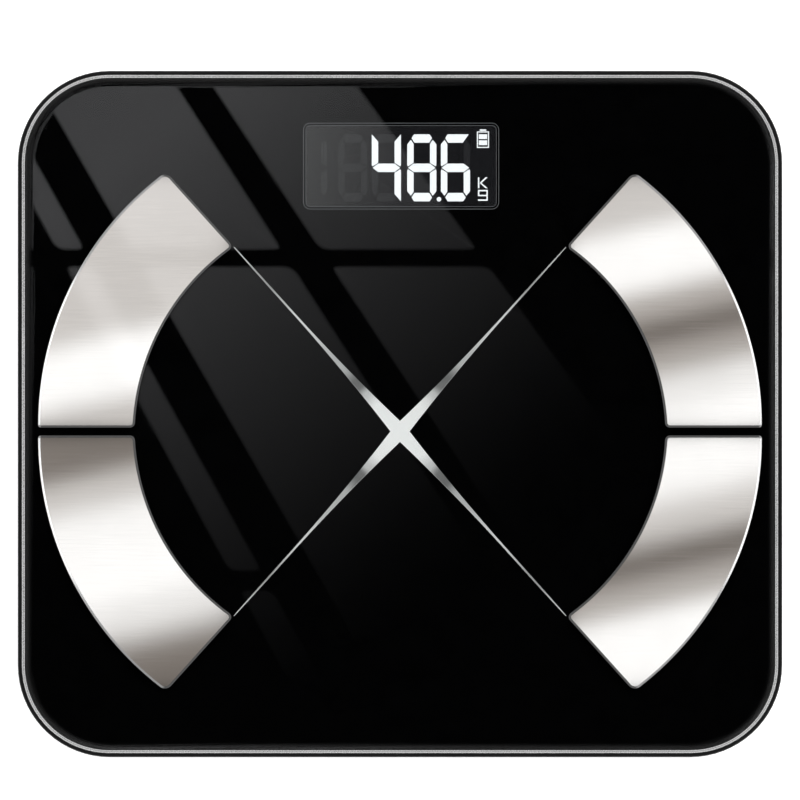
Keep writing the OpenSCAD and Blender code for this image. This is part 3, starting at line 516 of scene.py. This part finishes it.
def cell_wrap(number):
    """Printed wrap with a copper band at the button end and bare steel at both ends."""
    name = f"battery_cell_{number}"
    low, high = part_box(name)
    # The middle cell lies the other way round
    sign = -1 if number == 2 else 1
    flat_end = low.x if sign > 0 else high.x
    wrap = Finish(f"cell_wrap_{number}", CELL_BLUE, 0.3)
    tree = wrap.tree
    along = calc(tree, "MULTIPLY", calc(tree, "SUBTRACT", wrap.axis("X"), flat_end), sign)
    bands = color_ramp(tree, calc(tree, "DIVIDE", along, high.x - low.x), CELL_BANDS, "CONSTANT")
    scuff = wrap.noise(2 * MM, 5)
    wrap.paint(wrap.mix(spread(tree, scuff, 0, 0.3, 0.45, 0.8), bands, (0.35, 0.34, 0.33)))
    wrap.rough(scuff, 0.24, 0.42)
    wrap.on(name)


# ---------- boards and figures ----------

def green_boards():
    """Green solder mask over copper runs."""
    board = Finish("green_board", (0.008, 0.09, 0.04), 0.38)
    values = {"Vector": board.place, "Scale": 260.0}
    patches = add_node(board.tree, "ShaderNodeTexVoronoi", values,
                       feature="DISTANCE_TO_EDGE", distance="MANHATTAN")
    runs = spread(board.tree, patches.outputs["Distance"], 1, 0, 0.02, 0.06)
    board.paint(board.mix(runs, board.mottle(6 * MM, 0.85, 1.15), (0.03, 0.2, 0.08)))
    board.rough(board.noise(0.5 * MM), 0.3, 0.46)
    board.bump(runs, 0.03 * MM)
    board.on("main_board", "display_board")


def black_chips():
    """Matt resin of the chips on the main board."""
    chip = Finish("chip_black", (0.012, 0.012, 0.013), 0.5)
    chip.soften(0.1 * MM)
    chip.mottle(1.5 * MM, 0.8, 1.3)
    chip.rough(chip.noise(0.2 * MM), 0.42, 0.6)
    chip.bump(chip.noise(0.15 * MM), 0.006 * MM)
    chip.on("board_chips")


def pale_lamps():
    """Yellowish resin of the lamps under the figures."""
    lamp = Finish("led_chip", (0.75, 0.68, 0.3), 0.3)
    lamp.mottle(0.5 * MM, 0.85, 1.1)
    lamp.rough(lamp.noise(0.3 * MM), 0.22, 0.4)
    lamp.on("display_leds")


def lit_figures():
    """White light pipes of the bars that are on."""
    lit = Finish("segment_lit", (0.9, 0.92, 0.95), 0.5)
    lit.shader.inputs["Emission Color"].default_value = (0.93, 0.97, 1, 1)
    lit.shader.inputs["Emission Strength"].default_value = 5.2
    lit.mottle(1 * MM, 0.92, 1.05)
    lit.rough(lit.noise(0.3 * MM), 0.4, 0.6)
    lit.on("segments_lit")


def unlit_figures():
    """Dim grey light pipes of the bars that are off."""
    dim = Finish("segment_unlit", (0.3, 0.3, 0.32), 0.5)
    dim.mottle(2 * MM, 0.85, 1.15)
    dim.rough(dim.noise(0.3 * MM), 0.4, 0.6)
    dim.on("segments_unlit")


# ---------- edges and wires ----------

def weld(name):
    """Joins the corners that the faces of a CAD node share."""
    joined = nodes[name].modifiers.new("weld", "WELD")
    joined.merge_threshold = 0.001 * MM


def smooth_shading():
    """A node group that shades every face of a mesh smooth."""
    group = bpy.data.node_groups.new("smooth_shading", "GeometryNodeTree")
    group.interface.new_socket("Mesh", in_out="INPUT", socket_type="NodeSocketGeometry")
    group.interface.new_socket("Mesh", in_out="OUTPUT", socket_type="NodeSocketGeometry")
    start = add_node(group, "NodeGroupInput").outputs[0]
    smooth = add_node(group, "GeometryNodeSetShadeSmooth", {"Geometry": start}).outputs["Geometry"]
    add_node(group, "NodeGroupOutput", {0: smooth})
    return group


def shade_smooth(name, shading):
    """Gives a CAD node the smooth shading group as its next modifier."""
    smooth = nodes[name].modifiers.new("smooth", "NODES")
    smooth.node_group = shading


def round_edges(shading, width, *names):
    """Real rounds along the sharp edges of moulded, pressed or plated pieces."""
    for name in names:
        weld(name)
        bevel = nodes[name].modifiers.new("rounds", "BEVEL")
        bevel.width = width
        bevel.segments = 2
        bevel.limit_method = "ANGLE"
        bevel.angle_limit = math.radians(40)
        shade_smooth(name, shading)
        nodes[name].modifiers.new("flat_faces", "WEIGHTED_NORMAL")


def round_wires(shading, *names):
    """Round, smooth wires in place of eight-sided ones."""
    for name in names:
        weld(name)
        finer = nodes[name].modifiers.new("finer", "SUBSURF")
        finer.levels = 1
        finer.render_levels = 1
        shade_smooth(name, shading)


def edges_and_wires():
    """Rounds the edges of the moulded and pressed pieces, the wires and the springs."""
    shading = smooth_shading()
    round_edges(shading, 0.25 * MM, "battery_door", "wire_connectors", "unit_button")
    round_edges(shading, 0.3 * MM, *each_corner("bracket"), *each_corner("foot_cup"))
    round_edges(shading, 0.15 * MM, *each_corner("load_cell"), "unit_switch", "radio_module", "stud_nuts")
    round_edges(shading, 0.35 * MM, *[f"battery_cell_{number}" for number in CELLS])
    round_wires(shading, *[f"cell_wires_{color}" for color in ("red", "white", "black")])
    round_wires(shading, "electrode_wires", "battery_wires", "battery_springs")


# ---------- stage ----------

FLOOR_SIZE = 8
FLOOR_DROP = 0.02 * MM

# Light from each height of the sky, from straight below (0) to straight above (1)
SKY = [(0.0, 0.8), (0.5, 0.6), (0.585, 0.38), (0.75, 0.32), (0.895, 0.1), (0.97, 0.02), (0.985, 0.0)]


def stage_plane(name, size, place, material):
    """A square that faces up, at place."""
    mesh = bpy.data.meshes.new(name)
    half = size / 2
    corners = [(-half, -half, 0), (half, -half, 0), (half, half, 0), (-half, half, 0)]
    mesh.from_pydata(corners, [], [(0, 1, 2, 3)])
    mesh.materials.append(material)
    made = bpy.data.objects.new(name, mesh)
    made.location = place
    bpy.context.scene.collection.objects.link(made)
    return made


def make_floor():
    """White floor that is clear when it is seen from below."""
    material = bpy.data.materials.new("floor")
    material.use_nodes = True
    tree = material.node_tree
    shader = tree.nodes["Principled BSDF"]
    shader.inputs["Base Color"].default_value = (0.85, 0.85, 0.85, 1)
    shader.inputs["Roughness"].default_value = 0.9
    shader.inputs["Specular IOR Level"].default_value = 0.0
    shader.inputs["Emission Color"].default_value = (1, 1, 1, 1)
    shader.inputs["Emission Strength"].default_value = 0.72
    clear = add_node(tree, "ShaderNodeBsdfTransparent").outputs["BSDF"]
    below = add_node(tree, "ShaderNodeNewGeometry").outputs["Backfacing"]
    values = {"Fac": below, 1: shader.outputs["BSDF"], 2: clear}
    show(tree, add_node(tree, "ShaderNodeMixShader", values))
    stage_plane("floor", FLOOR_SIZE, (0, 0, -FLOOR_DROP), material)


def make_world():
    """Soft light from all sides that is dark straight above, where flat glass mirrors it."""
    world = bpy.data.worlds.new("studio")
    bpy.context.scene.world = world
    world.use_nodes = True
    tree = world.node_tree
    direction = add_node(tree, "ShaderNodeTexCoord").outputs["Generated"]
    height = spread(tree, axes(tree, direction)["Z"], 0, 1, -1, 1)
    tree.links.new(color_ramp(tree, height, SKY), tree.nodes["Background"].inputs["Color"])
    tree.nodes["Background"].inputs["Strength"].default_value = 1.0


# ---------- cards that are seen only as reflections ----------

def light_only(card, *names):
    """Lets a card light these CAD nodes and nothing else, and hides it from the camera."""
    linked = bpy.data.collections.new(f"lit_by_{card.name}")
    for name in names:
        linked.objects.link(nodes[name])
    card.light_linking.receiver_collection = linked
    card.visible_camera = False
    card.visible_diffuse = False
    card.visible_shadow = False


def card_material(name):
    """A material whose shader is still to be made."""
    material = bpy.data.materials.new(name)
    material.use_nodes = True
    material.node_tree.nodes.remove(material.node_tree.nodes["Principled BSDF"])
    return material


def see_through(tree, color, strength):
    """Adds a glow to whatever lies behind the card."""
    glow = add_node(tree, "ShaderNodeEmission", {"Color": color, "Strength": strength}).outputs["Emission"]
    clear = add_node(tree, "ShaderNodeBsdfTransparent").outputs["BSDF"]
    show(tree, add_node(tree, "ShaderNodeAddShader", {0: glow, 1: clear}))


# The window that the glass mirrors: its panes as they fall on the glass, in millimetres.
# Upright bars run to one vanishing point, and COLUMNS gives each column's sides at BAR_Y.
# ROWS gives each pane's column and its front and rear edges.
VANISH = (-558, 863)
BAR_Y = 57
COLUMNS = {"a": (-124.7, -113.2), "b": (-97, -40.6), "c": (-27.8, 31.2)}
ROWS = [("a", 59.7, 140), ("b", 59.7, 140), ("c", 59.7, 140),
        ("a", -58, 54.6), ("b", -83, 54.6), ("c", -60, 54.6),
        ("a", -98, -64)]
PANE_ROUND = 4.2
PANE_SOFT = 1.4
ARC_STEPS = 6

# The panes fade towards the front right: how much X counts against Y, and where the fade ends and starts
FADE_SLANT = 0.85
FADE_END = -85 * MM
FADE_START = 178 * MM


def on_line(x_bar, y):
    """Where the upright line through x_bar lies at y."""
    return x_bar + (x_bar - VANISH[0]) / (VANISH[1] - BAR_Y) * (BAR_Y - y)


def rounded(corners, radius):
    """Outline with each corner replaced by a short arc."""
    points = []
    count = len(corners)
    for i, corner in enumerate(corners):
        start = corner + (corners[i - 1] - corner).normalized() * radius
        end = corner + (corners[(i + 1) % count] - corner).normalized() * radius
        for step in range(ARC_STEPS + 1):
            t = step / ARC_STEPS
            points.append(start * (1 - t) ** 2 + corner * 2 * t * (1 - t) + end * t ** 2)
    return points


def pane_glow(strength):
    """Light that fades from the rear left of the platform to the front right, and at each pane's edge."""
    material = card_material("pane_glow")
    tree = material.node_tree
    place = axes(tree, add_node(tree, "ShaderNodeTexCoord").outputs["Object"])
    along = calc(tree, "SUBTRACT", place["Y"], calc(tree, "MULTIPLY", place["X"], FADE_SLANT))
    share = spread(tree, along, 0, 1, FADE_END - VIEW_Y, FADE_START - VIEW_Y)
    fade = calc(tree, "POWER", share, 2)
    edge = add_node(tree, "ShaderNodeAttribute", attribute_name="glow").outputs["Fac"]
    level = calc(tree, "MULTIPLY", calc(tree, "MULTIPLY", fade, edge), strength)
    see_through(tree, (0.97, 0.97, 1, 1), level)
    return material


def pane_mesh(name, points, material):
    """A pane whose glow attribute falls from 1 to 0 over a narrow strip round its edge."""
    count = len(points)
    middle = sum(points, Vector()) / count
    inner = []
    for i, point in enumerate(points):
        along = (points[(i + 1) % count] - points[i - 1]).normalized()
        inner.append(point + Vector((-along.y, along.x, 0)) * PANE_SOFT * MM)
    mesh = bpy.data.meshes.new(name)
    faces = [(i, (i + 1) % count, count + (i + 1) % count, count + i) for i in range(count)]
    faces += [(count + i, count + (i + 1) % count, 2 * count) for i in range(count)]
    mesh.from_pydata([tuple(p) for p in [*points, *inner, middle]], [], faces)
    glow = mesh.attributes.new("glow", "FLOAT", "POINT")
    glow.data.foreach_set("value", [0.0] * count + [1.0] * (count + 1))
    mesh.materials.append(material)
    return mesh


def make_window(title, mirrored_in, height, strength):
    """Panes at a height above the glass, seen only as reflections in the CAD nodes of mirrored_in."""
    material = pane_glow(strength)
    grow = 1 + height / (view_reach + rim_top - glass_top)
    for number, (column, low, high) in enumerate(ROWS):
        left, right = COLUMNS[column]
        outline = [(on_line(left, low), low), (on_line(right, low), low),
                   (on_line(right, high), high), (on_line(left, high), high)]
        corners = [Vector((x * MM, y * MM - VIEW_Y, 0)) for x, y in outline]
        points = rounded(corners, PANE_ROUND * MM)
        name = f"{title}_{number}"
        pane = bpy.data.objects.new(name, pane_mesh(name, points, material))
        pane.location = (0, VIEW_Y, glass_top + height)
        pane.scale = (grow, grow, 1)
        bpy.context.scene.collection.objects.link(pane)
        light_only(pane, *mirrored_in)


# Bands of light on each electrode: distance from the middle of the platform along Y, at BAND_X from its
# middle line, in millimetres, and how bright the steel looks there, from 0 to 255
BANDS = {
    "rear_right": [(86, 195), (75, 196), (64, 254), (52, 254), (40, 163), (30, 98), (20, 157), (8, 232),
                   (-5, 255)],
    "rear_left": [(86, 196), (37, 192), (25, 254), (14, 254), (2, 190)],
    "front_right": [(-8, 255), (-24, 252), (-40, 196), (-53, 98), (-65, 166), (-77, 253), (-97, 255)],
    "front_left": [(-6, 114), (-13, 110), (-24, 192), (-38, 247), (-60, 254), (-73, 230), (-90, 114),
                   (-97, 108)],
}
BAND_X = 95
BAND_TILT = 12.7
BAND_HEIGHT = 0.035
BAND_STRENGTH = 1.17

# Each banded card reaches this far past the platform's side, and turns to an even grey within BESIDE_SOFT
BESIDE_REACH = 0.1
BESIDE_SOFT = 5 * MM
BESIDE_GREY = (0.8, 0.8, 0.8)

# How the picture's greys stand for light, and how much redder and less blue the darkest bands are
GAMMA = 2.2
WARM_RED = 0.18
WARM_BLUE = 0.14

RING_LIGHT_SIZE = 0.6
RING_LIGHT_HEIGHT = 0.15


def linear(grey):
    """Light for a grey of the picture from 0 to 255, warmer where it is darker."""
    value = (grey / 255) ** GAMMA
    warmth = (1 - value) ** 2
    return (value * (1 + WARM_RED * warmth), value, value * (1 - WARM_BLUE * warmth))


def band_glow(corner, stops):
    """See-through light whose brightness runs in slanted bands across the electrode."""
    material = card_material(f"band_{corner}")
    tree = material.node_tree
    place = axes(tree, add_node(tree, "ShaderNodeTexCoord").outputs["Object"])
    side = 1 if corner.endswith("right") else -1
    slant = math.tan(math.radians(BAND_TILT))
    rise = calc(tree, "MULTIPLY", calc(tree, "SUBTRACT", place["X"], side * BAND_X * MM), slant)
    y = calc(tree, "SUBTRACT", place["Y"], rise)
    near, far = stops[-1][0], stops[0][0]
    ramp = [((at - near) / (far - near), linear(grey)) for at, grey in reversed(stops)]
    bands = color_ramp(tree, spread(tree, y, 0, 1, near * MM, far * MM), ramp, "EASE")
    outward = calc(tree, "MULTIPLY", place["X"], side)
    beside = spread(tree, outward, 0, 1, cad_high.x, cad_high.x + BESIDE_SOFT)
    see_through(tree, mix_colors(tree, beside, bands, BESIDE_GREY), BAND_STRENGTH)
    return material


def make_bands():
    """A banded card close above each electrode, scaled so that its reflection falls where the bands lie.

    It reaches past the platform's side, where the bevel of the outer arc mirrors it.
    """
    steel_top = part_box("electrode_rear_right")[1].z
    grow = 1 + BAND_HEIGHT / view_reach
    for corner, stops in BANDS.items():
        low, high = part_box(f"electrode_{corner}")
        left = low.x if low.x > 0 else cad_low.x - BESIDE_REACH
        right = high.x if high.x < 0 else cad_high.x + BESIDE_REACH
        corners = [(left, low.y), (right, low.y), (right, high.y), (left, high.y)]
        mesh = bpy.data.meshes.new(f"band_{corner}")
        mesh.from_pydata([(x, y, 0) for x, y in corners], [], [(0, 1, 2, 3)])
        mesh.materials.append(band_glow(corner, stops))
        card = bpy.data.objects.new(f"band_{corner}", mesh)
        card.scale = (grow, grow, 1)
        card.location = (0, VIEW_Y * (1 - grow), steel_top + BAND_HEIGHT)
        bpy.context.scene.collection.objects.link(card)
        light_only(card, f"electrode_{corner}")


def make_ring_light():
    """Even see-through light above the plated ring, which lights nothing else."""
    material = card_material("ring_glow")
    see_through(material.node_tree, (1, 1, 1, 1), 0.7)
    card = stage_plane("ring_light", RING_LIGHT_SIZE, (0, 0, rim_top + RING_LIGHT_HEIGHT), material)
    light_only(card, "trim_ring")


def make_softbox():
    """Large soft lamp overhead that gives no highlight in flat glass."""
    data = bpy.data.lights.new("softbox", "AREA")
    data.shape = "SQUARE"
    data.size = 2.4
    data.energy = 76
    lamp = bpy.data.objects.new("softbox", data)
    lamp.location = (0.3, 0.5, 2.6)
    lamp.rotation_euler = (-lamp.location).to_track_quat("-Z", "Y").to_euler()
    lamp.visible_glossy = False
    lamp.visible_transmission = False
    lamp.visible_camera = False
    bpy.context.scene.collection.objects.link(lamp)


def make_stage():
    """World, floor, lamp and the cards that the glass, the steel and the ring mirror."""
    bpy.context.scene.view_settings.view_transform = "Standard"
    make_world()
    make_floor()
    make_window("glass_pane", ["glass_panel", "bottom_housing"], height=0.8, strength=0.64)
    make_window("steel_pane", ["electrode_rear_left"], height=0.036, strength=0.14)
    make_bands()
    make_ring_light()
    make_softbox()


clear_glass()
black_ground()
silver_star()
frame_lines()
smoke_film()
plated_trim()
brushed_steel()
plastics()
foot_rubber()
foam_tape()
electrode_tape()
gauge_film()
blank_label()
metals()
wires()
ribbon_cable()
for number in CELLS:
    cell_wrap(number)
green_boards()
black_chips()
pale_lamps()
lit_figures()
unlit_figures()
edges_and_wires()
make_stage()
